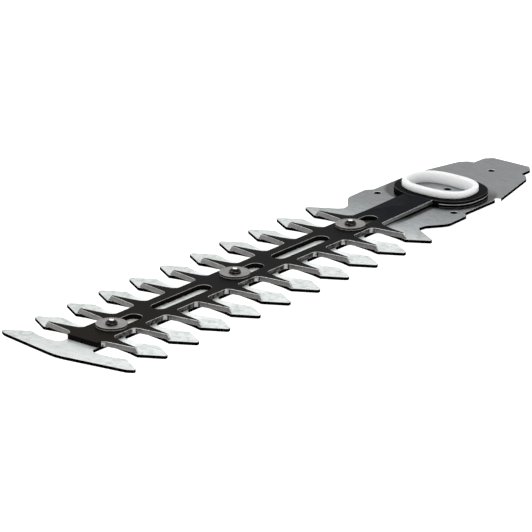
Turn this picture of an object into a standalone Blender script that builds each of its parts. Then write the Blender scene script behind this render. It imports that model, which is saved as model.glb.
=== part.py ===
"""Double-blade hedge trimmer cartridge: a fixed lower comb with its tang, a moving upper comb with a nylon
drive bush in its eye, and three riveted guide stations. Metres, +Z up, +X from the front guard to the tang."""

import math

import bmesh
import bpy
from mathutils import Vector

# ---------------------------------------------------------------- driving dimensions (metres)
MM = 0.001
PITCH = 18.5 * MM  # tooth pitch, both blades
TEETH = 10
FRONT_X = -0.345  # front vertex of the guard, in pitches from the first lower tooth
REAR_X = 15.42  # rear end of the tang, in pitches
X_SHIFT = -(FRONT_X + REAR_X) / 2  # the middle of the length is x = 0
HALF_WIDTH = 32.5 * MM  # over the lower teeth

STROKE = 8.5 * MM  # forward travel of the upper blade from the rest position (its rear dead centre)

HEAD_T = 1.2 * MM  # rivet head under the lower blade
SEAT = 0.05 * MM  # gap between faces that rest on each other
BACK_T = 0.5 * MM  # backing washer
LOWER_T = 1.3 * MM  # lower blade sheet
UPPER_T = 2.0 * MM  # upper blade sheet
SET_UP = 0.55 * MM  # tang and arm are set up by this much behind the last tooth
SET_START, SET_END = 10.45, 11.95  # the set runs between these, in pitches
LIFT = 0.25 * MM  # running clearance between the upper blade and the slide washer
WASHER_T = 0.30 * MM  # slide washer over the upper blade
CAP_T = 0.60 * MM  # cap disc
DOME_H = 1.4 * MM  # peened end of the stud

LOWER_Z0 = HEAD_T + SEAT + BACK_T + SEAT
LOWER_Z1 = LOWER_Z0 + LOWER_T
UPPER_Z0 = LOWER_Z1 + SEAT
UPPER_Z1 = UPPER_Z0 + UPPER_T
WASHER_Z0 = UPPER_Z1 + LIFT
WASHER_Z1 = WASHER_Z0 + WASHER_T
CAP_Z0 = WASHER_Z1 + SEAT
CAP_Z1 = CAP_Z0 + CAP_T

STATIONS = (("front", 1.375), ("middle", 5.375), ("rear", 9.375))  # guide stations, in pitches
CAP_R = 6.2 * MM
WASHER_R = 6.2 * MM
SHANK_R = 2.0 * MM
SHANK_HOLE_R = 2.1 * MM
SLEEVE_R = 2.95 * MM
DOME_R = 2.35 * MM
CROWN_R = 0.95 * MM  # flat crown of the peened end
HEAD_R = 4.5 * MM
BACK_R = 5.5 * MM
SLOT_HALF = 3.15 * MM  # half width of the guide slots and of the long slots

EYE_X = 12.69  # centre of the drive eye, in pitches
EYE_FRONT, EYE_REAR, EYE_B = 15.5 * MM, 16.25 * MM, 19.6 * MM  # half sizes of the eye: forward, rearward, sideways
EYE_N = 2.5  # how square the eye is: 2 is an ellipse
EYE_BASE_T = 0.7 * MM  # the upper blade is thinned to this under the carrier
BUSH_X = 12.67
BUSH_N = 2.6
BUSH_A, BUSH_B = 11.95 * MM, 16.25 * MM  # half sizes of the bush's upper lip, along X and Y
BODY_A, BODY_B = 11.1 * MM, 15.4 * MM  # half sizes of its body inside the eye
MOUTH_A, MOUTH_B = 9.05 * MM, 14.5 * MM  # half sizes of the drive slot at its mouth
DRIVE_A, DRIVE_B = 8.6 * MM, 14.0 * MM  # and below the mouth, where the drive eccentric runs
EYE_GAP = 0.15 * MM
SEAM = 0.25 * MM  # groove between the arm and the carrier
BUSH_TOP = LOWER_Z1 + 5.18 * MM
EYE_Z1 = UPPER_Z1 + SET_UP  # top of the carrier, level with the arm
BASE_Z1 = UPPER_Z0 + SET_UP + EYE_BASE_T
LIP_Z0 = EYE_Z1 + SEAT
BODY_Z0 = LOWER_Z1 + 0.64 * MM


# ---------------------------------------------------------------- helpers
def at(x, y=0.0):
    """A point given in pitches from the first lower tooth, as metres in the part's frame."""
    return ((x + X_SHIFT) * PITCH, y * PITCH)


def material(name, colour, roughness, metallic):
    made = bpy.data.materials.new(name)
    made.use_nodes = True
    shader = made.node_tree.nodes["Principled BSDF"]
    shader.inputs["Base Color"].default_value = (*colour, 1.0)
    shader.inputs["Roughness"].default_value = roughness
    shader.inputs["Metallic"].default_value = metallic
    return made


def rounded(points, radii):
    """The closed polygon with each corner that has a radius replaced by an arc. Metres."""
    out = []
    n = len(points)
    for i, (point, radius) in enumerate(zip(points, radii)):
        b = Vector(point)
        if radius <= 0:
            out.append(tuple(b))
            continue
        a, c = Vector(points[i - 1]), Vector(points[(i + 1) % n])
        steps = 1 if radius < 0.07 * PITCH else 3
        u, v = (a - b), (c - b)
        lu, lv = u.length, v.length
        u.normalize()
        v.normalize()
        half = 0.5 * u.angle(v)
        reach = min(radius / math.tan(half), 0.48 * lu, 0.48 * lv)
        r = reach * math.tan(half)
        centre = b + (u + v).normalized() * (r / math.sin(half))
        p, q = b + u * reach - centre, b + v * reach - centre
        turn = p.angle_signed(q)
        for k in range(steps + 1):
            t = -turn * k / steps
            co, si = math.cos(t), math.sin(t)
            out.append((centre.x + p.x * co - p.y * si, centre.y + p.x * si + p.y * co))
    return out


def circle(cx, cy, r, n=24, phase=0.0):
    return [
        (cx + r * math.cos(2 * math.pi * k / n + phase), cy + r * math.sin(2 * math.pi * k / n + phase))
        for k in range(n)
    ]


def squircle(cx, front, rear, b, power, count=40):
    """A rounded oval about (cx, 0): half size front towards -X, rear towards +X, and b sideways."""
    out = []
    for k in range(count):
        t = 2 * math.pi * k / count
        c, s = math.cos(t), math.sin(t)
        out.append(
            (
                cx + (rear if c > 0 else front) * math.copysign(abs(c) ** (2 / power), c),
                b * math.copysign(abs(s) ** (2 / power), s),
            )
        )
    return out


def stadium_x(x0, x1, r, n=8):
    """A slot outline along X from x0 to x1, half width r."""
    out = []
    for cx, start in ((x1 - r, -math.pi / 2), (x0 + r, math.pi / 2)):
        out += [(cx + r * math.cos(start + math.pi * k / n), r * math.sin(start + math.pi * k / n)) for k in range(n + 1)]
    return out


def area(loop):
    return 0.5 * sum(a[0] * b[1] - b[0] * a[1] for a, b in zip(loop, loop[1:] + loop[:1]))


def sheet(loops, z0, z1):
    """A flat sheet with holes, as a bmesh: the first loop is the outline."""
    loops = [list(loop) for loop in loops]
    for i, loop in enumerate(loops):
        if (area(loop) > 0) != (i == 0):
            loop.reverse()
    flat = bmesh.new()
    edges = []
    for loop in loops:
        vs = [flat.verts.new((x, y, 0.0)) for x, y in loop]
        edges += [flat.edges.new((a, b)) for a, b in zip(vs, vs[1:] + vs[:1])]
    bmesh.ops.triangle_fill(flat, edges=edges, use_beauty=True, use_dissolve=False)
    flat.verts.index_update()
    tris = []
    for f in flat.faces:
        ids = [v.index for v in f.verts]
        tris.append(ids if f.normal.z > 0 else ids[::-1])
    points = [tuple(v.co) for v in flat.verts]
    flat.free()
    bm = bmesh.new()
    low = [bm.verts.new((x, y, z0)) for x, y, _ in points]
    high = [bm.verts.new((x, y, z1)) for x, y, _ in points]
    for ids in tris:
        bm.faces.new([high[i] for i in ids])
        bm.faces.new([low[i] for i in reversed(ids)])
    start = 0
    for loop in loops:
        n = len(loop)
        for k in range(n):
            a, b = start + k, start + (k + 1) % n
            bm.faces.new((low[a], low[b], high[b], high[a]))
        start += n
    return bm


def turned(cx, profile, n=24):
    """A solid turned about a vertical axis at x = cx: the profile is a closed ring of (radius, z), going up its
    outer side. A first and last radius of 0 make it solid through the middle."""
    bm = bmesh.new()
    rows = []
    for r, z in profile:
        if r == 0:
            rows.append([bm.verts.new((cx, 0.0, z))])
        else:
            rows.append(
                [
                    bm.verts.new((cx + r * math.cos(2 * math.pi * k / n), r * math.sin(2 * math.pi * k / n), z))
                    for k in range(n)
                ]
            )
    closed = profile[0][0] != 0
    pairs = list(zip(rows, rows[1:])) + ([(rows[-1], rows[0])] if closed else [])
    for lower, upper in pairs:
        for k in range(n):
            j = (k + 1) % n
            if len(lower) == 1 and len(upper) == 1:
                continue
            if len(lower) == 1:
                bm.faces.new((lower[0], upper[j], upper[k]))
            elif len(upper) == 1:
                bm.faces.new((lower[k], lower[j], upper[0]))
            else:
                bm.faces.new((lower[k], lower[j], upper[j], upper[k]))
    return bm


def set_up(bm):
    """Sets the sheet up by SET_UP between SET_START and SET_END, and keeps it level behind them."""
    for x in (SET_START, SET_END):
        bmesh.ops.bisect_plane(
            bm, geom=bm.verts[:] + bm.edges[:] + bm.faces[:], dist=1e-7, plane_co=(at(x)[0], 0, 0), plane_no=(1, 0, 0)
        )
    bmesh.ops.triangulate(bm, faces=[f for f in bm.faces if len(f.verts) > 3])
    x0, x1 = at(SET_START)[0], at(SET_END)[0]
    for v in bm.verts:
        v.co.z += SET_UP * min(1.0, max(0.0, (v.co.x - x0) / (x1 - x0)))


def slope_tips(bm):
    """Draws the upper corners of each upper tooth's tip back, so that the end of the tooth is sloped."""
    for v in bm.verts:
        y = abs(v.co.y) / PITCH
        if y > UPPER_TIP_Y - 0.01 and v.co.z > (UPPER_Z0 + UPPER_Z1) / 2 and v.co.x < at(TEETH)[0]:
            x = v.co.x / PITCH - X_SHIFT
            middle = round(x + 0.247) - 0.247
            v.co.x = at(middle + math.copysign(0.025, x - middle))[0]
            v.co.y = math.copysign((y - TIP_SLOPE) * PITCH, v.co.y)


def node(name, bm, mat, parent=None, origin=(0.0, 0.0, 0.0), smooth=False):
    """The bmesh, made in the part's frame, as a named object whose origin is at origin."""
    bmesh.ops.recalc_face_normals(bm, faces=bm.faces)
    bmesh.ops.translate(bm, verts=bm.verts, vec=-Vector(origin))
    mesh = bpy.data.meshes.new(name)
    bm.to_mesh(mesh)
    bm.free()
    made = bpy.data.objects.new(name, mesh)
    bpy.context.scene.collection.objects.link(made)
    mesh.materials.append(mat)
    if smooth:
        mesh.shade_smooth()
        mesh.set_sharp_from_angle(angle=math.radians(35))
    if parent is not None:
        made.parent = parent
        made.location = Vector(origin) - parent.location
    else:
        made.location = origin
    return made


# ---------------------------------------------------------------- outlines, in pitches
TIP_Y = HALF_WIDTH / PITCH
UPPER_TIP_Y = 1.244  # the upper teeth reach this far at their underside
TIP_SLOPE = 0.074  # and this much less at their top: the tips are sloped
FILLET = 0.10  # root radius between the upper teeth
SPINE_Y = 0.405  # half width of the lower blade's spine
ARM_Y = 0.385  # half width of the upper blade's arm


def lower_half():
    """Half of the lower blade's outline (y >= 0), from the front vertex to the rear end, as (x, y, corner radius)."""
    pts = [(FRONT_X, 0.0, 0.0), (FRONT_X + 0.004, 0.10, 0.0), (FRONT_X + 0.018, 0.22, 0.0), (-0.085, 1.64, 0.12)]
    pts += [(0.0, 1.77, 0.05), (0.06, 1.76, 0.03), (0.35, 1.28, 0.05)]
    for i in range(0, TEETH):
        if i > 0:
            pts += [(i - 0.005, TIP_Y, 0.05), (i + 0.085, TIP_Y - 0.02, 0.05), (i + 0.35, 1.28, 0.05)]
        pts += [
            (i + 0.262, 0.98, 0.25),
            (i + 0.225, 0.70, 0.25),
            (i + 0.235, SPINE_Y, 0.16),
            (i + 0.84, SPINE_Y, 0.12),
            (i + 0.81, 0.62, 0.25),
            (i + 0.765, 0.98, 0.25),
            (i + 0.70, 1.25, 0.05),
        ]
    pts += [
        (9.99, 1.725, 0.02),
        (10.06, 1.71, 0.02),
        (10.40, 1.12, 0.06),
        (10.50, 1.03, 0.08),
        (10.70, 1.07, 0.10),
        (10.88, 1.22, 0.35),
        (11.10, 1.395, 0.35),
        (11.75, 1.395, 0.03),
        (11.88, 1.262, 0.03),
        (13.02, 1.262, 0.0),
        (13.05, 1.215, 0.0),
        (13.13, 1.215, 0.0),
        (13.16, 1.312, 0.0),
        (14.68, 0.945, 0.12),
        (14.84, 0.80, 0.06),
        (14.87, 0.655, 0.03),
        (15.25, 0.645, 0.12),
        (REAR_X, 0.50, 0.05),
    ]
    return pts


def upper_half():
    """Half of the upper blade's outline (y >= 0), from the nose to the rear of the eye."""
    pts = [(0.46, 0.0, 0.0), (0.46, 0.405, 0.03), (0.56, 0.41, 0.06)]
    for i in range(1, TEETH + 1):
        if i > 1:
            pts.append((i - 0.425, 0.41, FILLET))
        pts += [
            (i - 0.372, 0.50, 0.10),
            (i - 0.332, 0.75, 0.4),
            (i - 0.262, UPPER_TIP_Y - 0.004, 0.0),
            (i - 0.230, UPPER_TIP_Y, 0.0),
            (i - 0.155, 0.75, 0.4),
            (i - 0.095, 0.50, 0.10),
        ]
        pts.append((i - 0.03, 0.41, FILLET) if i < TEETH else (9.99, 0.40, 0.08))
    pts += [(10.4, ARM_Y, 0.0), (11.885, ARM_Y, 0.05)]
    eye = squircle(EYE_X, EYE_FRONT / PITCH, EYE_REAR / PITCH, EYE_B / PITCH, EYE_N, 44)
    upper = [p for p in eye[1:22] if not (p[0] < EYE_X and p[1] < ARM_Y + 0.10)]
    pts += [(x, y, 0.0) for x, y in reversed(upper)]
    pts.append((EYE_X + EYE_REAR / PITCH, 0.0, 0.0))
    return pts


def whole(half):
    """The full outline from its half, mirrored about the centre line, with the corners rounded. Metres."""
    mirrored = [(x, -y, r) for x, y, r in reversed(half) if y > 0]
    pts = half + mirrored
    return rounded([at(x, y) for x, y, _ in pts], [r * PITCH for _, _, r in pts])


# ---------------------------------------------------------------- build
for old in list(bpy.data.objects):
    bpy.data.objects.remove(old, do_unlink=True)

steel = material("blade_steel", (0.72, 0.73, 0.72), 0.32, 1.0)
coated = material("black_coating", (0.022, 0.021, 0.020), 0.38, 0.0)
nylon = material("white_nylon", (0.86, 0.89, 0.87), 0.42, 0.0)
carrier_black = material("black_carrier", (0.018, 0.019, 0.021), 0.45, 0.0)
zinc = material("cap_steel", (0.50, 0.49, 0.46), 0.34, 1.0)
stud_steel = material("stud_steel", (0.34, 0.33, 0.32), 0.25, 1.0)
hardened = material("sleeve_steel", (0.45, 0.45, 0.45), 0.3, 1.0)

blade_origin = (*at(EYE_X), UPPER_Z0)
carriage = bpy.data.objects.new("moving_blade_axis", None)  # on the line that the upper blade slides along
bpy.context.scene.collection.objects.link(carriage)
carriage.location = blade_origin

# Fixed comb and tang: one sheet, with the three rivet holes, two tang holes at the sides and two on the centre line.
holes = [circle(*at(x), SHANK_HOLE_R) for _, x in STATIONS]
holes += [circle(*at(11.75, s * 1.055), 0.085 * PITCH, 16) for s in (1, -1)]
holes += [circle(*at(12.96), 0.09 * PITCH, 16), circle(*at(14.64), 0.08 * PITCH, 16)]
bm = sheet([whole(lower_half())] + holes, LOWER_Z0, LOWER_Z1)
set_up(bm)
node("lower_blade", bm, steel)

# Moving comb: three guide slots, two long slots between them, and the eye for the bush.
slots = [stadium_x(at(x - 0.225)[0], at(x + 0.875)[0], SLOT_HALF) for _, x in STATIONS]
slots += [stadium_x(at(a)[0], at(b)[0], SLOT_HALF) for a, b in ((2.72, 4.51), (6.72, 8.51))]
eye_hole = squircle(at(BUSH_X)[0], BODY_A + EYE_GAP, BODY_A + EYE_GAP, BODY_B + EYE_GAP, BUSH_N)
bm = sheet([whole(upper_half())] + slots + [eye_hole], UPPER_Z0, UPPER_Z1)
slope_tips(bm)
set_up(bm)
upper_blade = node("upper_blade", bm, coated, carriage, blade_origin)

# The eye is thinned on top, inside the carrier's outline and a narrow seam, so the carrier sits level with the arm.
ex, bx = at(EYE_X)[0], at(BUSH_X)[0]
pocket = squircle(ex, EYE_FRONT + SEAM, EYE_REAR + SEAM, EYE_B + SEAM, EYE_N, 44)
cutter = node("eye_pocket_cutter", sheet([pocket], BASE_Z1, EYE_Z1 + 2 * MM), coated)
cutter.hide_render = True
cutter.display_type = "WIRE"
cut = upper_blade.modifiers.new("eye pocket", "BOOLEAN")
cut.operation = "DIFFERENCE"
cut.solver = "EXACT"
cut.object = cutter


def lofted(rings):
    """A closed tube wall through outlines at rising heights on the outer side and falling ones on the inner side."""
    bm = bmesh.new()
    rows = [[bm.verts.new((x, y, z)) for x, y in loop] for loop, z in rings]
    n = len(rows[0])
    for lower, upper in zip(rows, rows[1:] + rows[:1]):
        for k in range(n):
            j = (k + 1) % n
            bm.faces.new((lower[k], lower[j], upper[j], upper[k]))
    return bm


def eye_ring(inset):
    return squircle(ex, EYE_FRONT - inset, EYE_REAR - inset, EYE_B - inset, EYE_N)


def bush_ring(a, b):
    return squircle(bx, a, a, b, BUSH_N)


# Carrier: the black ring on the thinned eye, which holds the bush.
hole = bush_ring(BODY_A + EYE_GAP, BODY_B + EYE_GAP)
carrier = lofted(
    [
        (eye_ring(0.0), BASE_Z1 + SEAT),
        (eye_ring(0.0), EYE_Z1 - 0.15 * MM),
        (eye_ring(0.15 * MM), EYE_Z1),
        (hole, EYE_Z1),
        (hole, BASE_Z1 + SEAT),
    ]
)
node("eye_carrier", carrier, carrier_black, carriage, (ex, 0.0, UPPER_Z0), smooth=True)

# Drive bush: a lipped nylon body through the eye, with the eccentric's slot in it, opened out at its mouth.
soft = 0.45 * MM
bush = lofted(
    [
        (bush_ring(BODY_A, BODY_B), BODY_Z0),
        (bush_ring(BODY_A, BODY_B), LIP_Z0),
        (bush_ring(BUSH_A - 0.2 * MM, BUSH_B - 0.2 * MM), LIP_Z0),
        (bush_ring(BUSH_A, BUSH_B), LIP_Z0 + 0.2 * MM),
        (bush_ring(BUSH_A, BUSH_B), BUSH_TOP - soft),
        (bush_ring(BUSH_A - soft, BUSH_B - soft), BUSH_TOP),
        (bush_ring(MOUTH_A, MOUTH_B), BUSH_TOP),
        (bush_ring(DRIVE_A, DRIVE_B), BUSH_TOP - 0.8 * MM),
        (bush_ring(DRIVE_A, DRIVE_B), BODY_Z0),
    ]
)
node("drive_bush", bush, nylon, carriage, (bx, 0.0, UPPER_Z0), smooth=True)

# Three guide stations: stud, backing washer, sleeve in the slot, slide washer and cap disc.
for name, x in STATIONS:
    cx = at(x)[0]
    here = (cx, 0.0, LOWER_Z0)
    node(
        f"guide_stud_{name}",
        turned(
            cx,
            [
                (0, 0.0),
                (HEAD_R - 0.5 * MM, 0.0),
                (HEAD_R, 0.4 * MM),
                (HEAD_R, HEAD_T),
                (SHANK_R, HEAD_T),
                (SHANK_R, CAP_Z1 + SEAT),
                (DOME_R, CAP_Z1 + SEAT),
                (DOME_R, CAP_Z1 + SEAT + 0.25 * DOME_H),
                (DOME_R * 0.87, CAP_Z1 + SEAT + 0.60 * DOME_H),
                (DOME_R * 0.64, CAP_Z1 + SEAT + 0.88 * DOME_H),
                (CROWN_R, CAP_Z1 + SEAT + DOME_H),
                (0, CAP_Z1 + SEAT + DOME_H),
            ],
            24,
        ),
        stud_steel,
        origin=here,
        smooth=True,
    )
    node(
        f"backing_washer_{name}",
        turned(
            cx,
            [
                (SHANK_HOLE_R, HEAD_T + SEAT),
                (BACK_R, HEAD_T + SEAT),
                (BACK_R, HEAD_T + SEAT + BACK_T),
                (SHANK_HOLE_R, HEAD_T + SEAT + BACK_T),
            ],
        ),
        zinc,
        origin=here,
        smooth=True,
    )
    node(
        f"guide_sleeve_{name}",
        turned(
            cx,
            [
                (SHANK_HOLE_R, UPPER_Z0),
                (SLEEVE_R, UPPER_Z0),
                (SLEEVE_R, CAP_Z0 - SEAT),
                (SHANK_HOLE_R, CAP_Z0 - SEAT),
            ],
            24,
        ),
        hardened,
        origin=here,
        smooth=True,
    )
    node(
        f"slide_washer_{name}",
        turned(
            cx,
            [
                (SLEEVE_R + 0.15 * MM, WASHER_Z0),
                (WASHER_R, WASHER_Z0),
                (WASHER_R, WASHER_Z1),
                (SLEEVE_R + 0.15 * MM, WASHER_Z1),
            ],
        ),
        zinc,
        origin=here,
        smooth=True,
    )
    node(
        f"cap_disc_{name}",
        turned(
            cx,
            [
                (SHANK_HOLE_R, CAP_Z0),
                (CAP_R - 0.15 * MM, CAP_Z0),
                (CAP_R, CAP_Z0 + 0.15 * MM),
                (CAP_R, CAP_Z1 - 0.2 * MM),
                (CAP_R - 0.2 * MM, CAP_Z1),
                (SHANK_HOLE_R, CAP_Z1),
            ],
        ),
        zinc,
        origin=here,
        smooth=True,
    )
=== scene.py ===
import math

import bmesh
import bpy
from mathutils import Matrix, Vector


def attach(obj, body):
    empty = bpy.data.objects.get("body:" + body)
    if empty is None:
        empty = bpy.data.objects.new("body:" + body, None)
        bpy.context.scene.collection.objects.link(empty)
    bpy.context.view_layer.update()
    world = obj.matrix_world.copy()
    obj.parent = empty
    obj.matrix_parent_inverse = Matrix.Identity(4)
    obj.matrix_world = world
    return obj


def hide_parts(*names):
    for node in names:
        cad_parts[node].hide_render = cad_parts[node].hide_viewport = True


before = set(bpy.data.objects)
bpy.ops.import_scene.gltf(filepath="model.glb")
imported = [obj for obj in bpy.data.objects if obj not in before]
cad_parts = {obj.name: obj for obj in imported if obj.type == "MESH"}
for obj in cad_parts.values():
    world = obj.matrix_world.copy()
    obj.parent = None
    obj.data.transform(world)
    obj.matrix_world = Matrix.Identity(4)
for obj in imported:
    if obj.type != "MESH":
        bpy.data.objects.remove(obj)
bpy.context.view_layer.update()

# ------------------------------------------------------------------ dimensions (metres), as in the CAD
MM = 0.001
PITCH = 18.5 * MM
TEETH = 10
FRONT_X, REAR_X = -0.345, 15.42
X_SHIFT = -(FRONT_X + REAR_X) / 2
TIP_Y = 32.5 / 18.5
SPINE_Y, ARM_Y, FILLET = 0.405, 0.385, 0.10
SET_UP = 0.55 * MM
SET_START, SET_END = 10.45, 11.95
LOWER_Z0, LOWER_Z1 = 1.80 * MM, 3.10 * MM
UPPER_Z0, UPPER_Z1 = 3.15 * MM, 5.15 * MM
STATIONS = (("front", 1.375), ("middle", 5.375), ("rear", 9.375))
EYE_X, BUSH_X = 12.69, 12.67
EYE_FRONT, EYE_REAR, EYE_B, EYE_N = 15.5 * MM, 16.25 * MM, 19.6 * MM, 2.5
BUSH_N = 2.6
BUSH_A, BUSH_B = 11.95 * MM, 16.25 * MM
BODY_A, BODY_B = 11.1 * MM, 15.4 * MM
MOUTH_A, MOUTH_B = 9.05 * MM, 14.5 * MM
DRIVE_A, DRIVE_B = 8.6 * MM, 14.0 * MM
BUSH_TOP = LOWER_Z1 + 5.18 * MM
EYE_Z1 = UPPER_Z1 + SET_UP
BASE_Z1 = UPPER_Z0 + SET_UP + 0.7 * MM
LIP_Z0 = EYE_Z1 + 0.05 * MM
BODY_Z0 = LOWER_Z1 + 0.64 * MM
CAP_R, HOLE_R, DOME_R, CROWN_R = 6.2 * MM, 2.1 * MM, 2.35 * MM, 0.95 * MM
CAP_Z0, CAP_Z1, DOME_H = 5.75 * MM, 6.35 * MM, 1.4 * MM
UPPER_TIP_Y, TIP_SLOPE = 1.244, 0.074


def at(x, y=0.0):
    return ((x + X_SHIFT) * PITCH, y * PITCH)


# ------------------------------------------------------------------ node helpers for the materials
class Shader:
    """A small writer of node trees, so that each material below reads as a list of steps."""

    def __init__(self, name):
        self.mat = bpy.data.materials.new(name)
        self.mat.use_nodes = True
        self.tree = self.mat.node_tree
        self.bsdf = self.tree.nodes["Principled BSDF"]
        self.coords = self.add("ShaderNodeTexCoord").outputs["Object"]

    def add(self, kind, **settings):
        made = self.tree.nodes.new(kind)
        for key, value in settings.items():
            setattr(made, key, value)
        return made

    def wire(self, source, target):
        if isinstance(source, (int, float)):
            target.default_value = source
        elif isinstance(source, tuple):
            target.default_value = source
        else:
            self.tree.links.new(source, target)

    def put(self, name, value):
        self.bsdf.inputs[name].default_value = value

    def mapped(self, scale=(1, 1, 1), turn=(0, 0, 0), source=None):
        node = self.add("ShaderNodeMapping")
        node.inputs["Scale"].default_value = scale
        node.inputs["Rotation"].default_value = turn
        self.wire(source or self.coords, node.inputs["Vector"])
        return node.outputs["Vector"]

    def noise(self, scale, detail=3.0, rough=0.55, vector=None, distortion=0.0):
        node = self.add("ShaderNodeTexNoise")
        node.inputs["Scale"].default_value = scale
        node.inputs["Detail"].default_value = detail
        node.inputs["Roughness"].default_value = rough
        node.inputs["Distortion"].default_value = distortion
        self.wire(vector or self.coords, node.inputs["Vector"])
        return node.outputs["Fac"]

    def ramp(self, source, low, high, a=0.0, b=1.0):
        node = self.add("ShaderNodeMapRange")
        node.clamp = True
        self.wire(source, node.inputs["Value"])
        for key, value in (("From Min", low), ("From Max", high), ("To Min", a), ("To Max", b)):
            node.inputs[key].default_value = value
        return node.outputs["Result"]

    def math(self, operation, a, b=0.0):
        node = self.add("ShaderNodeMath", operation=operation)
        self.wire(a, node.inputs[0])
        self.wire(b, node.inputs[1])
        return node.outputs[0]

    def mix(self, fac, a, b):
        node = self.add("ShaderNodeMix", data_type="RGBA")
        self.wire(fac, node.inputs["Factor"])
        for socket, value in ((node.inputs[6], a), (node.inputs[7], b)):
            self.wire((*value, 1.0) if isinstance(value, tuple) and len(value) == 3 else value, socket)
        return node.outputs[2]

    def stops(self, source, low, high, steps):
        """A colour that runs through steps of (place, colour), where the places lie between low and high."""
        node = self.add("ShaderNodeValToRGB")
        self.wire(self.ramp(source, low, high), node.inputs["Fac"])
        while len(node.color_ramp.elements) < len(steps):
            node.color_ramp.elements.new(0.5)
        for element, (place, colour) in zip(node.color_ramp.elements, steps):
            element.position = (place - low) / (high - low)
            element.color = (*colour, 1.0)
        return node.outputs["Color"]

    def scaled(self, colour, factor):
        """The colour times a number that varies over the surface."""
        node = self.add("ShaderNodeVectorMath", operation="SCALE")
        self.wire(colour, node.inputs[0])
        self.wire(factor, node.inputs["Scale"])
        return node.outputs[0]

    def axis(self, index):
        node = self.add("ShaderNodeSeparateXYZ")
        self.wire(self.coords, node.inputs[0])
        return node.outputs[index]

    def bump(self, height, strength, distance):
        node = self.add("ShaderNodeBump")
        node.inputs["Strength"].default_value = strength
        node.inputs["Distance"].default_value = distance
        self.wire(height, node.inputs["Height"])
        self.wire(node.outputs["Normal"], self.bsdf.inputs["Normal"])

    def colour(self, source):
        self.wire((*source, 1.0) if isinstance(source, tuple) else source, self.bsdf.inputs["Base Color"])

    def rough(self, source):
        self.wire(source, self.bsdf.inputs["Roughness"])


def self_tint(s, base):
    """The base, duller and a little greener, as oiled steel looks in patches."""
    node = s.add("ShaderNodeMix", data_type="RGBA", blend_type="MULTIPLY")
    node.inputs["Factor"].default_value = 1.0
    s.wire(base, node.inputs[6])
    node.inputs[7].default_value = (0.66, 0.72, 0.69, 1.0)
    return node.outputs[2]


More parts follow.
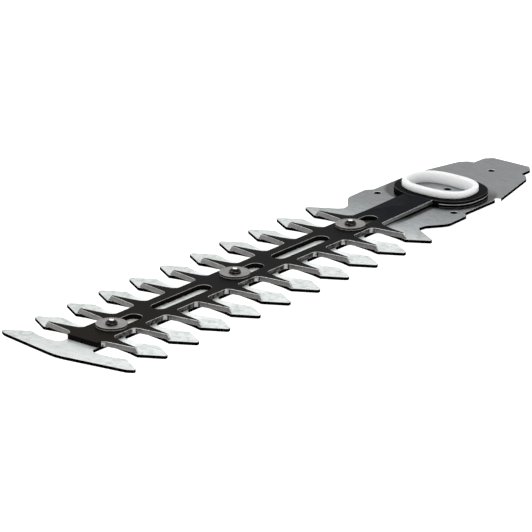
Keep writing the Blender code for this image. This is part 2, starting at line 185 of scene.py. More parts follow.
def ground_steel(name, comb, tang, rough, painted_shade_and_light=0.0):
    """Sheet ground with a wide wheel: long fine scratches on the diagonal, cloudy patches, and a smoother, greyer
    tang. The last argument sets how dark the painted shade is. When it is not zero, it paints a near-black painted
    shadow and reflection round the eye and beside the arm, painted shade in the rear slot, and painted light inside the
    bush and along the slots."""
    s = Shader(name)
    x, y = s.axis(0), s.axis(1)
    s.wire(s.ramp(x, at(10.2)[0], at(11.2)[0], 0.32, 1.0), s.bsdf.inputs["Metallic"])
    scratch = s.noise(1.0, 4.0, 0.65, s.mapped((2300.0, 130.0, 300.0), (0, 0, math.radians(-38))))
    cross = s.noise(1.0, 3.0, 0.6, s.mapped((1700.0, 80.0, 300.0), (0, 0, math.radians(24))))
    cloud = s.noise(170.0, 4.0, 0.62)
    stain = s.noise(330.0, 3.0, 0.6, None, 0.8)
    fine = s.noise(900.0, 3.0, 0.6)
    wear = s.ramp(s.math("ADD", s.math("MULTIPLY", scratch, 0.62), s.math("MULTIPLY", cross, 0.38)), 0.36, 0.62)
    # Along the length: the comb darkens to 0.62 times by 10.0, then the tang starts 1.55 times its grey at 10.45 and
    # grades down to it by 12.
    steps = [(9.2, comb), (9.7, tuple(c * 0.82 for c in comb)), (10.0, tuple(c * 0.62 for c in comb))]
    steps += [(10.45, tuple(c * 1.55 for c in tang)), (11.0, tuple(c * 1.30 for c in tang)), (12.0, tang)]
    base = s.stops(x, at(9.2)[0], at(12.0)[0], [(at(p)[0], c) for p, c in steps])
    tone = s.ramp(s.math("ADD", s.math("MULTIPLY", cloud, 0.45), s.math("MULTIPLY", wear, 0.55)), 0.25, 0.75, 0.80, 1.12)
    # Slightly darker at the nose, and grading from 5% lighter at the near edge to 12% darker at the far edge.
    tone = s.math("MULTIPLY", tone, s.ramp(x, at(0.35)[0], at(0.65)[0], 0.94, 1.0))
    tone = s.math("MULTIPLY", tone, s.ramp(y, -1.7 * PITCH, 1.7 * PITCH, 1.05, 0.88))
    base = s.scaled(base, tone)
    out = s.math("ABSOLUTE", y)
    # Painted light: the comb between the moving teeth, from the spine outwards, is made up to 1.22 times brighter where
    # their walls shade it.
    root = s.math("MULTIPLY", s.ramp(out, 0.40 * PITCH, 0.55 * PITCH), s.ramp(out, 0.85 * PITCH, 1.05 * PITCH, 1.0, 0.0))
    root = s.math("MULTIPLY", root, s.ramp(x, at(0.30)[0], at(0.60)[0]))
    base = s.scaled(base, s.ramp(s.math("MULTIPLY", root, s.ramp(x, at(9.6)[0], at(10.0)[0], 1.0, 0.0)), 0.0, 1.0, 1.0, 1.22))
    patch = s.math("MULTIPLY", s.ramp(stain, 0.47, 0.63), s.ramp(x, at(10.2)[0], at(11.0)[0], 0.85, 0.30))
    patch = s.math("MULTIPLY", patch, s.ramp(out, 0.75 * PITCH, 1.1 * PITCH, 0.35, 1.0))
    worn = self_tint(s, base)
    base = s.mix(patch, base, worn)
    if painted_shade_and_light:
        # Painted shadow and reflection: a near-black band on the tang round the front and sides of the eye.
        dx = s.math("ADD", x, -at(EYE_X)[0])
        reach = s.ramp(s.math("SIGN", dx), -1.0, 1.0, 1.0 / EYE_FRONT, 1.0 / EYE_REAR)
        u = s.math("POWER", s.math("ABSOLUTE", s.math("MULTIPLY", dx, reach)), EYE_N)
        v = s.math("POWER", s.math("ABSOLUTE", s.math("MULTIPLY", y, 1.0 / EYE_B)), EYE_N)
        far = s.math("POWER", s.math("ADD", u, v), 1.0 / EYE_N)
        far = s.math("ADD", far, s.math("MULTIPLY", s.math("ADD", cloud, -0.5), 0.05))
        eye = s.math("MULTIPLY", s.ramp(far, 0.80, 0.92), s.ramp(far, 1.16, 1.23, 1.0, 0.0))
        eye = s.math("MULTIPLY", eye, s.ramp(x, at(13.2)[0], at(13.6)[0], 1.0, 0.0))
        # Painted shadow and reflection: a near-black band on the tang beside each side of the arm.
        side = s.math("ABSOLUTE", y)
        arm = s.math("MULTIPLY", s.ramp(side, (ARM_Y + 0.11) * PITCH, (ARM_Y + 0.17) * PITCH, 1.0, 0.0), s.ramp(x, at(10.3)[0], at(10.9)[0]))
        arm = s.math("MULTIPLY", arm, s.ramp(x, at(12.0)[0], at(12.1)[0], 1.0, 0.0))
        # Painted shade: the comb seen through the rear slot behind the rear cap is darkened most of the way to black.
        well = s.math("MULTIPLY", s.ramp(x, at(9.5)[0], at(9.75)[0]), s.ramp(x, at(10.3)[0], at(10.35)[0], 1.0, 0.0))
        well = s.math("MULTIPLY", well, s.ramp(side, 0.20 * PITCH, 0.26 * PITCH, 0.8, 0.0))
        # All the painted shade together, mixed below towards near black as strongly as the last argument.
        dark = s.math("MAXIMUM", s.math("MAXIMUM", eye, arm), well)
        # Painted light and reflection: the tang floor inside the bush is made 2.6 times brighter.
        bush_floor_painted_light = s.ramp(far, 0.70, 0.78, 1.0, 0.0)
        base = s.mix(s.math("MULTIPLY", dark, painted_shade_and_light), base, (0.003, 0.003, 0.003))
        base = s.mix(bush_floor_painted_light, base, s.scaled(base, 2.6))
        # Painted light: the comb seen through the moving comb's slots is made 1.22 times brighter.
        strip = s.math("MULTIPLY", s.ramp(side, 0.20 * PITCH, 0.28 * PITCH, 1.0, 0.0), s.ramp(x, at(9.0)[0], at(9.3)[0], 1.0, 0.0))
        strip = s.math("MULTIPLY", strip, s.ramp(x, at(1.3)[0], at(1.5)[0]))
        base = s.scaled(base, s.ramp(strip, 0.0, 1.0, 1.0, 1.22))
    s.colour(base)
    spread = s.ramp(s.math("ADD", s.math("MULTIPLY", fine, 0.4), s.math("MULTIPLY", wear, 0.6)), 0.2, 0.8, -0.06, 0.08)
    s.rough(s.math("ADD", spread, s.ramp(x, at(9.8)[0], at(11.0)[0], rough, rough - 0.24)))
    s.bump(wear, 0.16, 0.00003)
    return s.mat


def coating():
    """Black conversion coating on ground sheet: warm on the comb, cooler on the arm, with rubbed fine specks."""
    s = Shader("black_coating_top")
    speck = s.noise(2600.0, 2.0, 0.5)
    cloud = s.noise(140.0, 4.0, 0.6)
    rub = s.noise(1.0, 4.0, 0.6, s.mapped((240.0, 2100.0, 300.0), (0, 0, math.radians(4))))
    x = s.axis(0)
    warm = s.mix(s.ramp(cloud, 0.3, 0.7), (0.0078, 0.0060, 0.0040), (0.0122, 0.0097, 0.0066))
    cool = s.mix(s.ramp(cloud, 0.3, 0.7), (0.0010, 0.0022, 0.0040), (0.0030, 0.0046, 0.0072))
    plain = s.mix(s.ramp(cloud, 0.3, 0.7), (0.0068, 0.0066, 0.0066), (0.0112, 0.0108, 0.0108))
    comb = s.mix(s.ramp(x, at(1.8)[0], at(4.8)[0]), warm, plain)
    base = s.mix(s.ramp(x, at(9.4)[0], at(10.6)[0]), comb, cool)
    s.colour(s.mix(s.math("MULTIPLY", s.ramp(rub, 0.60, 0.78), 0.35), base, (0.030, 0.027, 0.023)))
    s.rough(s.ramp(cloud, 0.25, 0.75, 0.42, 0.56))
    s.put("Specular IOR Level", 0.012)
    s.bump(speck, 0.20, 0.00004)
    return s.mat


def black_edge(name, colour, rough=0.5, specular=0.006):
    """Near-black edge, torn in vertical streaks."""
    s = Shader(name)
    streak = s.noise(1.0, 4.0, 0.7, s.mapped((2200.0, 2200.0, 260.0)))
    cloud = s.noise(600.0, 3.0, 0.6)
    s.colour(s.mix(s.ramp(streak, 0.35, 0.7), tuple(c * 0.6 for c in colour), tuple(c * 1.6 for c in colour)))
    s.rough(s.ramp(cloud, 0.3, 0.7, rough - 0.06, rough + 0.12))
    s.put("Specular IOR Level", specular)
    s.bump(streak, 0.3, 0.00006)
    return s.mat


def bare_edge(name, low, high, rough, metallic=1.0, blotch=0.0, dark=(0.03, 0.03, 0.03)):
    """Ground flank: grinding marks run along the edge, with blotches where the black coating is left."""
    s = Shader(name)
    s.put("Metallic", metallic)
    lines = s.noise(1.0, 4.0, 0.65, s.mapped((260.0, 260.0, 5200.0)))
    cloud = s.noise(520.0, 4.0, 0.65)
    base = s.mix(s.ramp(s.math("ADD", s.math("MULTIPLY", lines, 0.6), s.math("MULTIPLY", cloud, 0.4)), 0.36, 0.64), low, high)
    if blotch:
        base = s.mix(s.ramp(s.noise(760.0, 4.0, 0.7, None, 0.6), 0.62 - blotch * 0.3, 0.68 - blotch * 0.22), base, dark)
    s.colour(base)
    s.rough(s.ramp(lines, 0.3, 0.7, rough - 0.08, rough + 0.10))
    s.bump(lines, 0.25, 0.00004)
    return s.mat


def nylon():
    """Moulded white nylon: slightly cool, faint flow marks and fine grain."""
    s = Shader("moulded_nylon")
    flow = s.noise(1.0, 3.0, 0.6, s.mapped((90.0, 60.0, 240.0)))
    grain = s.noise(2400.0, 2.0, 0.5)
    s.colour(s.mix(s.ramp(flow, 0.3, 0.7), (0.915, 0.950, 0.945), (0.94, 0.965, 0.958)))
    s.rough(s.ramp(flow, 0.3, 0.7, 0.34, 0.46))
    s.put("Specular IOR Level", 0.45)
    s.put("Subsurface Weight", 1.0)
    s.put("Subsurface Radius", (1.0, 1.0, 1.0))
    s.put("Subsurface Scale", 0.0045)
    s.bump(grain, 0.10, 0.00005)
    return s.mat


def turned_steel(name, low, high, rough, rings=5200.0):
    """Turned face: fine rings round the piece's own axis, some brighter, with cloudy variation."""
    s = Shader(name)
    s.put("Metallic", 1.0)
    x, y = s.axis(0), s.axis(1)
    radius = s.math("SQRT", s.math("ADD", s.math("MULTIPLY", x, x), s.math("MULTIPLY", y, y)))
    ring = s.add("ShaderNodeTexNoise", noise_dimensions="1D")
    ring.inputs["Scale"].default_value = rings
    ring.inputs["Detail"].default_value = 3.0
    s.wire(radius, ring.inputs["W"])
    cloud = s.noise(420.0, 4.0, 0.65)
    tone = s.ramp(s.math("ADD", s.math("MULTIPLY", ring.outputs["Fac"], 0.45), s.math("MULTIPLY", cloud, 0.55)), 0.34, 0.66)
    s.colour(s.mix(tone, low, high))
    s.rough(s.ramp(cloud, 0.3, 0.7, rough - 0.06, rough + 0.10))
    s.bump(ring.outputs["Fac"], 0.22, 0.00004)
    return s.mat


def peened_steel():
    """Rivet end: dark, glossy and hammered, with a painted highlight on its crown and a lighter painted highlight ring
    at its foot, by radius.
    """
    s = Shader("stud_peened_steel")
    s.put("Metallic", 1.0)
    x, y = s.axis(0), s.axis(1)
    radius = s.math("SQRT", s.math("ADD", s.math("MULTIPLY", x, x), s.math("MULTIPLY", y, y)))
    dents = s.noise(1500.0, 3.0, 0.6)
    edge = s.math("ADD", radius, s.math("MULTIPLY", s.math("ADD", dents, -0.5), 0.0003))
    dark = s.mix(s.ramp(dents, 0.35, 0.65), (0.004, 0.0036, 0.0036), (0.024, 0.022, 0.0215))
    # Painted highlight: a patchy grey ring at the foot.
    foot = s.math("MULTIPLY", s.ramp(edge, 0.00205, 0.00228), s.ramp(dents, 0.46, 0.56))
    base = s.mix(foot, dark, (0.13, 0.125, 0.12))
    # Painted highlight: the crown within about 1 mm of the axis is near white.
    s.colour(s.mix(s.ramp(edge, 0.00090, 0.00108, 1.0, 0.0), base, (0.93, 0.92, 0.90)))
    s.rough(s.ramp(dents, 0.3, 0.7, 0.12, 0.26))
    s.bump(dents, 0.25, 0.00006)
    return s.mat


def moulded_black(name, shade, specular):
    """Black glass-filled plastic: fine grain, with soft flow variation in the gloss."""
    s = Shader(name)
    grain = s.noise(3200.0, 3.0, 0.6)
    flow = s.noise(120.0, 3.0, 0.6)
    s.colour(s.mix(s.ramp(flow, 0.3, 0.7), tuple(c * 0.45 for c in shade), tuple(c * 1.55 for c in shade)))
    s.rough(s.ramp(flow, 0.3, 0.7, 0.36, 0.50))
    s.put("Specular IOR Level", specular)
    s.bump(grain, 0.25, 0.00004)
    return s.mat


STEEL = ground_steel("comb_ground_steel", (0.70, 0.73, 0.725), (0.178, 0.189, 0.196), 0.42, painted_shade_and_light=0.97)
STEEL_UNDER = ground_steel("comb_underside_steel", (0.50, 0.51, 0.51), (0.24, 0.25, 0.25), 0.42)
EDGE = black_edge("comb_blanked_edge", (0.0012, 0.0012, 0.0012), 0.6, 0.0)
# Bright edge steel, burnished, and brightened further as a painted highlight line on the comb's broken top edges and
# hole rims, and as painted glints in the latch notches and at the tongue step.
BRIGHT = bare_edge("comb_edge_burnish_and_painted_highlight", (0.80, 0.82, 0.82), (0.96, 0.97, 0.97), 0.28)
COAT = coating()
FLANK = bare_edge("tooth_flank_ground", (0.12, 0.118, 0.115), (0.225, 0.222, 0.217), 0.36)
# Tip facets and top edges of the teeth: bright steel with dark specks, a painted glint and painted highlight line.
FACET = bare_edge("tooth_tip_facet_painted_glint", (0.46, 0.465, 0.46), (0.95, 0.96, 0.95), 0.28, 1.0, 0.22, (0.14, 0.14, 0.14))
# Painted highlight: a lighter patch on the concave fillet of each tooth root, standing for a lamp's glint.
FILLET_WALL = bare_edge("tooth_fillet_painted_highlight", (0.26, 0.256, 0.25), (0.52, 0.515, 0.51), 0.38, 1.0, 0.20, (0.03, 0.03, 0.03))
# Painted highlight: a lighter band on the eye plate's edge, on the near and rear side only.
EYE_LINE = bare_edge("eye_plate_painted_highlight", (0.30, 0.285, 0.28), (0.62, 0.60, 0.59), 0.32)
ROOT = bare_edge("tooth_root_wall", (0.030, 0.029, 0.028), (0.15, 0.148, 0.145), 0.40, 1.0, 0.55, (0.006, 0.006, 0.006))
ARM_SIDE = bare_edge("arm_side_ground", (0.27, 0.272, 0.27), (0.44, 0.442, 0.438), 0.36)
NOSE = black_edge("coated_edge", (0.0055, 0.0047, 0.0038))
# Painted highlight: a light line on the broken top edges of the slots.
LINE = bare_edge("coated_edge_painted_highlight", (0.26, 0.26, 0.25), (0.62, 0.62, 0.61), 0.34)
NYLON = nylon()
CAPS = turned_steel("cap_turned_steel", (0.105, 0.100, 0.098), (0.245, 0.236, 0.228), 0.32)
# Painted shade and reflection: the cap's turned steel rim painted near black.
RIM = black_edge("cap_rim_painted_shade", (0.016, 0.016, 0.012), 0.4)
STUD = peened_steel()
WASHER = bare_edge("washer_steel", (0.30, 0.295, 0.27), (0.46, 0.455, 0.42), 0.32, 0.4)
CARRIER = moulded_black("carrier_plastic", (0.0030, 0.0034, 0.0040), 0.008)
# Painted highlight: a lighter band along the middle of the carrier's rounded top edge.
CARRIER_EDGE_HIGHLIGHT = moulded_black("carrier_edge_painted_highlight", (0.050, 0.051, 0.053), 0.05)


# ------------------------------------------------------------------ outlines (the CAD's, with finer arcs)
def rounded(points, radii, step=math.radians(9)):
    out = []
    n = len(points)
    for i in range(n):
        p, radius = Vector(points[i]), radii[i]
        a, c = Vector(points[i - 1]), Vector(points[(i + 1) % n])
        u, v = (a - p).normalized(), (c - p).normalized()
        turn = u.angle(v)
        if radius <= 0 or turn > math.pi - 1e-3:
            out.append(tuple(p))
            continue
        reach = min(radius / math.tan(turn / 2), 0.49 * (a - p).length, 0.49 * (c - p).length)
        radius = reach * math.tan(turn / 2)
        middle = p + (u + v).normalized() * (radius / math.sin(turn / 2))
        start, end = p + u * reach - middle, p + v * reach - middle
        sweep = start.angle(end)
        steps = max(2, int(math.ceil(sweep / step)))
        sign = 1 if start.x * end.y - start.y * end.x > 0 else -1
        for k in range(steps + 1):
            t = sign * sweep * k / steps
            out.append(
                (
                    middle.x + start.x * math.cos(t) - start.y * math.sin(t),
                    middle.y + start.x * math.sin(t) + start.y * math.cos(t),
                )
            )
    return out


def circle(cx, cy, r, n=48):
    return [(cx + r * math.cos(2 * math.pi * k / n), cy + r * math.sin(2 * math.pi * k / n)) for k in range(n)]


def stadium(x0, x1, half, n=16):
    out = []
    for cx, start in ((x1 - half, -math.pi / 2), (x0 + half, math.pi / 2)):
        out += [(cx + half * math.cos(start + math.pi * k / n), half * math.sin(start + math.pi * k / n)) for k in range(n + 1)]
    return out


def squircle(cx, front, rear, b, power, count=120):
    out = []
    for k in range(count):
        t = 2 * math.pi * k / count
        c, s = math.cos(t), math.sin(t)
        out.append(
            (
                cx + (rear if c > 0 else front) * math.copysign(abs(c) ** (2 / power), c),
                b * math.copysign(abs(s) ** (2 / power), s),
            )
        )
    return out


def lower_half():
    pts = [(FRONT_X, 0.0, 0.0), (FRONT_X + 0.004, 0.10, 0.0), (FRONT_X + 0.018, 0.22, 0.0), (-0.085, 1.64, 0.12)]
    pts += [(0.0, 1.77, 0.05), (0.06, 1.76, 0.03), (0.35, 1.28, 0.05)]
    for i in range(0, TEETH):
        if i > 0:
            pts += [(i - 0.005, TIP_Y, 0.05), (i + 0.085, TIP_Y - 0.02, 0.05), (i + 0.35, 1.28, 0.05)]
        pts += [
            (i + 0.262, 0.98, 0.25),
            (i + 0.225, 0.70, 0.25),
            (i + 0.235, SPINE_Y, 0.16),
            (i + 0.84, SPINE_Y, 0.12),
            (i + 0.81, 0.62, 0.25),
            (i + 0.765, 0.98, 0.25),
            (i + 0.70, 1.25, 0.05),
        ]
    pts += [
        (9.99, 1.725, 0.02),
        (10.06, 1.71, 0.02),
        (10.40, 1.12, 0.06),
        (10.50, 1.03, 0.08),
        (10.70, 1.07, 0.10),
        (10.88, 1.22, 0.35),
        (11.10, 1.395, 0.35),
        (11.75, 1.395, 0.03),
        (11.88, 1.262, 0.03),
        (13.02, 1.262, 0.01),
        (13.05, 1.215, 0.01),
        (13.13, 1.215, 0.01),
        (13.16, 1.312, 0.02),
        (14.68, 0.945, 0.12),
        (14.84, 0.80, 0.06),
        (14.87, 0.655, 0.03),
        (15.25, 0.645, 0.12),
        (REAR_X, 0.50, 0.05),
    ]
    return pts


def upper_half():
    pts = [(0.46, 0.0, 0.0), (0.46, 0.405, 0.03), (0.56, 0.41, 0.06)]
    for i in range(1, TEETH + 1):
        if i > 1:
            pts.append((i - 0.425, 0.41, FILLET))
        pts += [
            (i - 0.372, 0.50, 0.10),
            (i - 0.332, 0.75, 0.4),
            (i - 0.262, UPPER_TIP_Y - 0.004, 0.0),
            (i - 0.230, UPPER_TIP_Y, 0.0),
            (i - 0.155, 0.75, 0.4),
            (i - 0.095, 0.50, 0.10),
        ]
        pts.append((i - 0.03, 0.41, FILLET) if i < TEETH else (9.99, 0.40, 0.08))
    pts += [(10.4, ARM_Y, 0.0), (11.885, ARM_Y, 0.05)]
    eye = squircle(EYE_X, EYE_FRONT / PITCH, EYE_REAR / PITCH, EYE_B / PITCH, EYE_N, 132)
    upper = [p for p in eye[1:66] if not (p[0] < EYE_X and p[1] < ARM_Y + 0.06)]
    pts += [(x, y, 0.0) for x, y in reversed(upper)]
    pts.append((EYE_X + EYE_REAR / PITCH, 0.0, 0.0))
    return pts


def whole(half):
    pts = half + [(x, -y, r) for x, y, r in reversed(half) if y > 0]
    return rounded([at(x, y) for x, y, _ in pts], [r * PITCH for _, _, r in pts])


def area(loop):
    return 0.5 * sum(a[0] * b[1] - b[0] * a[1] for a, b in zip(loop, loop[1:] + loop[:1]))


def tidy(loop, near=0.02 * MM):
    """The loop without points that nearly coincide."""
    out = []
    for p in loop:
        if not out or math.dist(p, out[-1]) > near:
            out.append(p)
    if math.dist(out[0], out[-1]) <= near:
        out.pop()
    return out


def inset(loop, w):
    """The loop moved to its left by w, with mitred corners."""
    out = []
    n = len(loop)
    for i in range(n):
        a, p, c = Vector(loop[i - 1]), Vector(loop[i]), Vector(loop[(i + 1) % n])
        d1, d2 = (p - a).normalized(), (c - p).normalized()
        n1, n2 = Vector((-d1.y, d1.x)), Vector((-d2.y, d2.x))
        m = n1 + n2
        m = m.normalized() if m.length > 1e-6 else n1
        out.append(tuple(p + m * (w / max(0.45, m.dot(n1)))))
    return out


def sloped(point, height):
    """The point of an upper tooth's tip, drawn back with height (0 at the underside, 1 at the top)."""
    px, py = point[0] / PITCH - X_SHIFT, abs(point[1]) / PITCH
    if py < UPPER_TIP_Y - 0.03 or px > TEETH:
        return point
    middle = round(px + 0.247) - 0.247
    spread = (px - middle) * (1.0 + 0.56 * height)
    return (at(middle + spread)[0], math.copysign((py - TIP_SLOPE * height) * PITCH, point[1]))


def plate(name, outer, holes, z0, z1, top, under, mats, wall, line=None, cap=0, base=0, set_up=True, waist=0.5, rims=None, tips=False):
    """A sheet from its outlines, with its edges broken by top and under; wall(x, y) picks each wall's material
    slot, and line(x, y) that of the broken edge above it."""
    bm = bmesh.new()
    loops = [tidy(outer if area(outer) > 0 else outer[::-1])]
    loops += [tidy(h if area(h) < 0 else h[::-1]) for h in holes]
    caps = {0: [], 1: []}
    for index, loop in enumerate(loops):
        wide = (rims or {}).get(index, top)
        rows = [(inset(loop, under), z0), (loop, z0 + under), (loop, z0 + waist * (z1 - z0)), (loop, z1 - wide), (inset(loop, wide), z1)]
        if tips and index == 0:
            rows = [([sloped(p, (z - z0) / (z1 - z0)) for p in ring], z) for ring, z in rows]
        rings = [[bm.verts.new((x, y, z)) for x, y in ring] for ring, z in rows]
        n = len(loop)
        for k in range(4):
            for i in range(n):
                j = (i + 1) % n
                face = bm.faces.new((rings[k][i], rings[k][j], rings[k + 1][j], rings[k + 1][i]))
                x, y = (loop[i][0] + loop[j][0]) / 2, (loop[i][1] + loop[j][1]) / 2
                face.material_index = wall(x, y, k) if k < 3 else (line or wall)(x, y, k)
                if wide > top and k > 2:
                    face.material_index = 2
                face.smooth = True
        for side, ring in ((0, rings[0]), (1, rings[4])):
            caps[side] += [bm.edges.get((ring[i], ring[(i + 1) % n])) for i in range(n)]
    for side, slot in ((0, base), (1, cap)):
        filled = bmesh.ops.triangle_fill(bm, use_beauty=True, use_dissolve=False, edges=caps[side])
        for face in filled["geom"]:
            if isinstance(face, bmesh.types.BMFace):
                face.material_index = slot
    if set_up:
        for x in (SET_START, SET_END):
            bmesh.ops.bisect_plane(
                bm, geom=bm.verts[:] + bm.edges[:] + bm.faces[:], dist=1e-8, plane_co=(at(x)[0], 0, 0), plane_no=(1, 0, 0)
            )
        bmesh.ops.triangulate(bm, faces=[f for f in bm.faces if len(f.verts) > 4])
        a, b = at(SET_START)[0], at(SET_END)[0]
        for v in bm.verts:
            v.co.z += SET_UP * min(1.0, max(0.0, (v.co.x - a) / (b - a)))
    return piece(name, bm, mats)


def piece(name, bm, mats, origin=(0.0, 0.0, 0.0), sharp=28):
    bmesh.ops.recalc_face_normals(bm, faces=bm.faces)
    bmesh.ops.translate(bm, verts=bm.verts, vec=-Vector(origin))
    mesh = bpy.data.meshes.new(name)
    bm.to_mesh(mesh)
    bm.free()
    for m in mats:
        mesh.materials.append(m)
    mesh.set_sharp_from_angle(angle=math.radians(sharp))
    made = bpy.data.objects.new(name, mesh)
    made.location = origin
    bpy.context.scene.collection.objects.link(made)
    return made


def stands_for(obj, body, slot, *nodes):
    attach(obj, body)
    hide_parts(*nodes)
    return obj


# ------------------------------------------------------------------ fixed comb and tang
P = PITCH
holes = [circle(*at(x), HOLE_R) for _, x in STATIONS]
holes += [circle(*at(11.75, s * 1.055), 0.085 * P) for s in (1, -1)]
holes += [circle(*at(12.96), 0.09 * P), circle(*at(14.64), 0.08 * P)]


def lower_wall(x, y, k):
    """1 blanked edge, 2 bright edge: the latch notches and the step to the tongue, given a painted highlight."""
    px, py = x / P - X_SHIFT, abs(y) / P
    if 13.0 < px < 13.18 and 1.2 < py < 1.32:
        return 2
    if 14.82 < px < 14.9 and py > 0.64:
        return 2
    return 1


comb = plate(
    "fixed_comb_sheet",
    whole(lower_half()),
    holes,
    LOWER_Z0,
    LOWER_Z1,
    0.03 * MM,
    0.03 * MM,
    [STEEL, EDGE, BRIGHT, STEEL_UNDER],
    lower_wall,
    # Every broken top edge takes the bright edge: a painted highlight line.
    lambda x, y, k: 2,
    cap=0,
    base=3,
    rims={4: 0.09 * MM, 5: 0.09 * MM, 6: 0.09 * MM, 7: 0.09 * MM},
)
stands_for(comb, "fixed_comb", "blade_steel", "lower_blade")


# ------------------------------------------------------------------ moving comb
def upper_wall(x, y, k):
    """0 coat, 1 nose and slots, 2 flank, 3 tip facet, 4 root, 5 arm side, 6 painted highlight line. k is 0 or 1 below
    the waist.
    """
    px, py = x / P - X_SHIFT, abs(y) / P
    if px < 0.57 and py < 0.42:
        return 1
    if px > 11.86:
        # The eye plate's edge above the waist takes the painted highlight (7), on the near and rear side only.
        return 1 if k < 2 or px < (11.92 if y < 0 else 12.4) else 7
    if py < 0.36:
        return 1
    if px > 9.97:
        return 1 if k < 2 else 5
    # Tip facets take a painted glint.
    if py > 1.09:
        return 3
    if py > 0.47:
        return 2
    # 8 is the painted highlight on the root's fillet.
    return 8 if 0.525 < px % 1 < 0.605 else 4


def upper_line(x, y, k):
    px, py = x / P - X_SHIFT, abs(y) / P
    if px < 0.57 and py < 0.42:
        return 1
    if px > 11.86:
        return 1
    # Top edges take a painted highlight line: 6 along the slots, 3 (the tip facet's) elsewhere.
    return 6 if py < 0.36 else 3


slots = [stadium(at(x - 0.225)[0], at(x + 0.875)[0], 3.15 * MM) for _, x in STATIONS]
slots += [stadium(at(a)[0], at(b)[0], 3.15 * MM) for a, b in ((2.72, 4.51), (6.72, 8.51))]
# The sheet stops at the carrier's groove; behind it the eye is a thinner plate, one piece with it.
full = whole(upper_half())
blade = plate(
    "moving_comb_sheet",
    full,
    slots + [squircle(at(BUSH_X)[0], BODY_A + 0.15 * MM, BODY_A + 0.15 * MM, BODY_B + 0.15 * MM, BUSH_N)],
    UPPER_Z0,
    UPPER_Z1,
    0.10 * MM,
    0.06 * MM,
    [COAT, NOSE, FLANK, FACET, ROOT, ARM_SIDE, LINE, EYE_LINE, FILLET_WALL],
    upper_wall,
    upper_line,
    waist=0.22,
    tips=True,
)
pocket = plate(
    "eye_pocket_cutter",
    squircle(at(EYE_X)[0], EYE_FRONT + 0.25 * MM, EYE_REAR + 0.6 * MM, EYE_B + 0.6 * MM, EYE_N),
    [],
    BASE_Z1,
    EYE_Z1 + 2 * MM,
    0.01 * MM,
    0.01 * MM,
    [NOSE],
    lambda *a: 0,
    set_up=False,
)
cut = blade.modifiers.new("eye pocket", "BOOLEAN")
cut.operation, cut.solver, cut.object = "DIFFERENCE", "EXACT", pocket
cut.material_mode = "TRANSFER"
bpy.context.view_layer.update()
done = bpy.data.meshes.new_from_object(blade.evaluated_get(bpy.context.evaluated_depsgraph_get()))
blade.modifiers.clear()
# The cut leaves a few slivers where it meets the set of the sheet: they are merged away, and the mesh stays closed.
bm = bmesh.new()
bm.from_mesh(done)
bmesh.ops.remove_doubles(bm, verts=bm.verts, dist=0.000004)
bmesh.ops.dissolve_degenerate(bm, dist=0.000003, edges=bm.edges)
bmesh.ops.triangulate(bm, faces=[f for f in bm.faces if len(f.verts) > 4])
bm.to_mesh(done)
bm.free()
blade.data = done
bpy.data.objects.remove(pocket)
stands_for(blade, "moving_comb", "black_coating", "upper_blade")


# ------------------------------------------------------------------ carrier and bush
def lofted(name, rows, mats, slot_of=lambda k: 0, origin=(0.0, 0.0, 0.0), sharp=40):
    """A closed tube wall through matching outlines: up the outer side, then down the inner one."""
    bm = bmesh.new()
    rings = [[bm.verts.new((x, y, z)) for x, y in loop] for loop, z in rows]
    n = len(rings[0])
    for k in range(len(rings)):
        a, b = rings[k], rings[(k + 1) % len(rings)]
        for i in range(n):
            j = (i + 1) % n
            face = bm.faces.new((a[i], a[j], b[j], b[i]))
            face.smooth = True
            face.material_index = slot_of(k)
    return piece(name, bm, mats, origin, sharp)


def arc(r, n, start, end):
    """(sideways, up) steps of a quarter turn of radius r."""
    return [(r * math.cos(math.radians(start + (end - start) * k / n)), r * math.sin(math.radians(start + (end - start) * k / n))) for k in range(n + 1)]


ex, bx = at(EYE_X)[0], at(BUSH_X)[0]


def eye_ring(w):
    return squircle(ex, EYE_FRONT - w, EYE_REAR - w, EYE_B - w, EYE_N)


def bush_ring(a, b):
    return squircle(bx, a, a, b, BUSH_N)


r = 0.30 * MM
rows = [(eye_ring(0.12 * MM), BASE_Z1 + 0.05 * MM), (eye_ring(0.0), BASE_Z1 + 0.17 * MM)]
rows += [(eye_ring(r - dx), EYE_Z1 - r + dz) for dx, dz in arc(r, 5, 0, 90)]
rows += [(bush_ring(BODY_A + 0.35 * MM, BODY_B + 0.35 * MM), EYE_Z1)]
rows += [(bush_ring(BODY_A + 0.15 * MM, BODY_B + 0.15 * MM), EYE_Z1 - 0.2 * MM)]
rows += [(bush_ring(BODY_A + 0.15 * MM, BODY_B + 0.15 * MM), BASE_Z1 + 0.05 * MM)]
# Faces 3 to 5, the middle of the rounded top edge, take the painted highlight.
carrier = lofted("carrier_ring", rows, [CARRIER, CARRIER_EDGE_HIGHLIGHT], lambda k: 1 if 3 <= k <= 5 else 0)
stands_for(carrier, "moving_comb", "black_carrier", "eye_carrier")

r = 0.55 * MM
q = 0.22 * MM
rows = [(bush_ring(BODY_A - 0.25 * MM, BODY_B - 0.25 * MM), BODY_Z0), (bush_ring(BODY_A, BODY_B), BODY_Z0 + 0.25 * MM)]
rows += [(bush_ring(BODY_A, BODY_B), LIP_Z0)]
rows += [(bush_ring(BUSH_A - q + dx, BUSH_B - q + dx), LIP_Z0 + q + dz) for dx, dz in arc(q, 4, -90, 0)]
rows += [(bush_ring(BUSH_A - r + dx, BUSH_B - r + dx), BUSH_TOP - r + dz) for dx, dz in arc(r, 7, 0, 90)]
t = 0.30 * MM
rows += [(bush_ring(MOUTH_A + t - dx, MOUTH_B + t - dx), BUSH_TOP - t + dz) for dx, dz in reversed(arc(t, 5, 0, 90))]
rows += [(bush_ring(DRIVE_A, DRIVE_B), BUSH_TOP - 0.95 * MM), (bush_ring(DRIVE_A, DRIVE_B), BODY_Z0 + 0.2 * MM)]
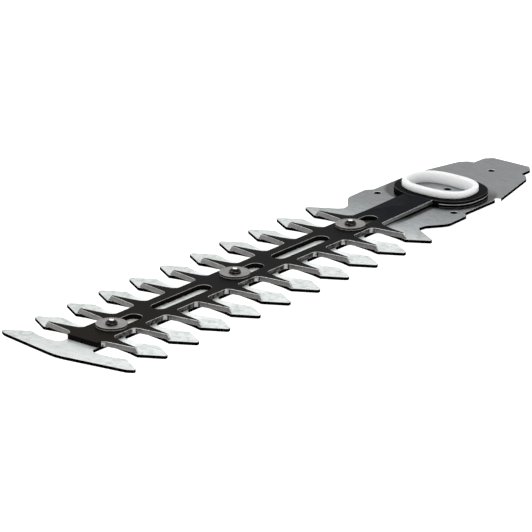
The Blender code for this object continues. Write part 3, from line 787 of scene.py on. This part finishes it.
rows += [(bush_ring(DRIVE_A + 0.2 * MM, DRIVE_B + 0.2 * MM), BODY_Z0)]
bush = lofted("nylon_drive_bush", rows, [NYLON])
stands_for(bush, "moving_comb", "white_nylon", "drive_bush")


# ------------------------------------------------------------------ guide stations
def lathe(name, cx, profile, mats, slot_of=lambda k: 0, n=96, sharp=32):
    """Turned about the vertical axis through (cx, 0). A profile that starts and ends on the axis is solid."""
    bm = bmesh.new()
    on_axis = profile[0][0] == 0
    rings = []
    for rad, z in profile:
        if rad == 0:
            rings.append([bm.verts.new((cx, 0, z))])
        else:
            rings.append([bm.verts.new((cx + rad * math.cos(2 * math.pi * i / n), rad * math.sin(2 * math.pi * i / n), z)) for i in range(n)])
    count = len(rings) - 1 if on_axis else len(rings)
    for k in range(count):
        a, b = rings[k], rings[(k + 1) % len(rings)]
        for i in range(n):
            j = (i + 1) % n
            verts = [a[i % len(a)], a[j % len(a)], b[j % len(b)], b[i % len(b)]]
            face = bm.faces.new(list(dict.fromkeys(verts)))
            face.smooth = True
            face.material_index = slot_of(k)
    return piece(name, bm, mats, (cx, 0, profile[0][1]), sharp)


for name, x in STATIONS:
    cx = at(x)[0]
    e = 0.18 * MM
    cap = [(HOLE_R + 0.05 * MM, CAP_Z0), (CAP_R - e, CAP_Z0)]
    cap += [(CAP_R - e + dx, CAP_Z0 + e + dz) for dx, dz in arc(e, 3, -70, 0)]
    cap += [(CAP_R - 0.22 * MM + dx, CAP_Z1 - 0.22 * MM + dz) for dx, dz in arc(0.22 * MM, 6, 0, 90)]
    cap += [(CAP_R - 1.1 * MM, CAP_Z1), (HOLE_R + 0.75 * MM, CAP_Z1)]
    cap += [(HOLE_R + 0.45 * MM, CAP_Z1 - 0.06 * MM), (HOLE_R + 0.05 * MM, CAP_Z1 - 0.12 * MM)]
    # The rim, its lower rounding and the foot of its upper rounding take the painted shade (slot 1).
    disc = lathe(f"cap_{name}", cx, cap, [CAPS, RIM], lambda k: 1 if k < 9 else 0)
    stands_for(disc, "fixed_comb", "cap_steel", f"cap_disc_{name}")
    head = [(0, 0.0), (3.4 * MM, 0.0)]
    head += [(4.0 * MM + dx, 0.5 * MM + dz) for dx, dz in arc(0.5 * MM, 6, -90, 0)]
    head += [(4.5 * MM, 1.12 * MM), (4.42 * MM, 1.2 * MM), (2.0 * MM, 1.2 * MM), (2.0 * MM, CAP_Z1 - 0.15 * MM)]
    top = CAP_Z1 + 0.05 * MM
    head += [(2.0 * MM, top), (DOME_R - 0.06 * MM, top), (DOME_R, top + 0.06 * MM), (DOME_R, top + 0.18 * DOME_H)]
    head += [(DOME_R * 0.985, top + 0.30 * DOME_H), (DOME_R * 0.94, top + 0.42 * DOME_H), (DOME_R * 0.85, top + 0.58 * DOME_H)]
    head += [(DOME_R * 0.73, top + 0.75 * DOME_H), (DOME_R * 0.60, top + 0.89 * DOME_H), (DOME_R * 0.50, top + 0.96 * DOME_H)]
    head += [(CROWN_R, top + 0.99 * DOME_H), (CROWN_R * 0.7, top + DOME_H), (0, top + DOME_H)]
    stud = lathe(f"stud_{name}", cx, head, [STUD])
    stands_for(stud, "fixed_comb", "stud_steel", f"guide_stud_{name}")
    for node, mat in ((f"slide_washer_{name}", WASHER), (f"backing_washer_{name}", WASHER), (f"guide_sleeve_{name}", WASHER)):
        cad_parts[node].data.materials.clear()
        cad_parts[node].data.materials.append(mat)

# ------------------------------------------------------------------ floor, light and camera
bm = bmesh.new()
bmesh.ops.create_grid(bm, x_segments=2, y_segments=2, size=6.0)
floor = piece("floor", bm, [])
floor.location = (0, 0, -0.0002)
s = Shader("pale_floor")
s.colour((0.60, 0.60, 0.60))
s.rough(0.9)
s.put("Specular IOR Level", 0.0)
s.put("Emission Color", (1.0, 1.0, 1.0, 1.0))
s.put("Emission Strength", 0.88)
floor.data.materials.append(s.mat)

world = bpy.data.worlds.new("studio")
bpy.context.scene.world = world
world.use_nodes = True
world.node_tree.nodes["Background"].inputs["Color"].default_value = (1.0, 1.0, 1.0, 1.0)
world.node_tree.nodes["Background"].inputs["Strength"].default_value = 0.9


def softbox(name, direction, distance, size, power, colour=(1, 1, 1)):
    data = bpy.data.lights.new(name, "AREA")
    data.shape = "RECTANGLE"
    data.size, data.size_y = size
    data.energy = power
    data.color = colour
    lamp = bpy.data.objects.new(name, data)
    bpy.context.scene.collection.objects.link(lamp)
    d = Vector(direction).normalized()
    lamp.location = d * distance
    lamp.rotation_euler = d.to_track_quat("Z", "Y").to_euler()
    return lamp


softbox("key_behind", (0.62, 0.62, 0.75), 1.3, (0.7, 0.7), 1.6)
softbox("top_left", (-0.55, 0.55, 1.0), 1.3, (0.6, 0.6), 0.8)
softbox("spark", (0.30, 0.42, 1.0), 1.3, (0.16, 0.16), 1.1)

AZ, EL, ROLL = math.radians(-51.634), math.radians(19.835), math.radians(0.451)
back = Vector((math.sin(AZ) * math.cos(EL), -math.cos(AZ) * math.cos(EL), math.sin(EL)))
side = (-back).cross(Vector((0, 0, 1))).normalized()
up = side.cross(-back)
right = math.cos(ROLL) * side + math.sin(ROLL) * up
above = -math.sin(ROLL) * side + math.cos(ROLL) * up
centre = Vector((*at(6.447, 0.014), LOWER_Z1))
eye = centre + back * (90.311 * PITCH)
data = bpy.data.cameras.new("camera")
data.sensor_width = 36.0
data.lens = 4247.627 / 532.0 * 36.0
data.clip_start, data.clip_end = 0.05, 30.0
camera = bpy.data.objects.new("camera", data)
bpy.context.scene.collection.objects.link(camera)
camera.matrix_world = Matrix(
    (
        (right.x, above.x, back.x, eye.x),
        (right.y, above.y, back.y, eye.y),
        (right.z, above.z, back.z, eye.z),
        (0, 0, 0, 1),
    )
)
bpy.context.scene.camera = camera
bpy.context.scene.view_settings.view_transform = "Standard"

bpy.context.view_layer.update()
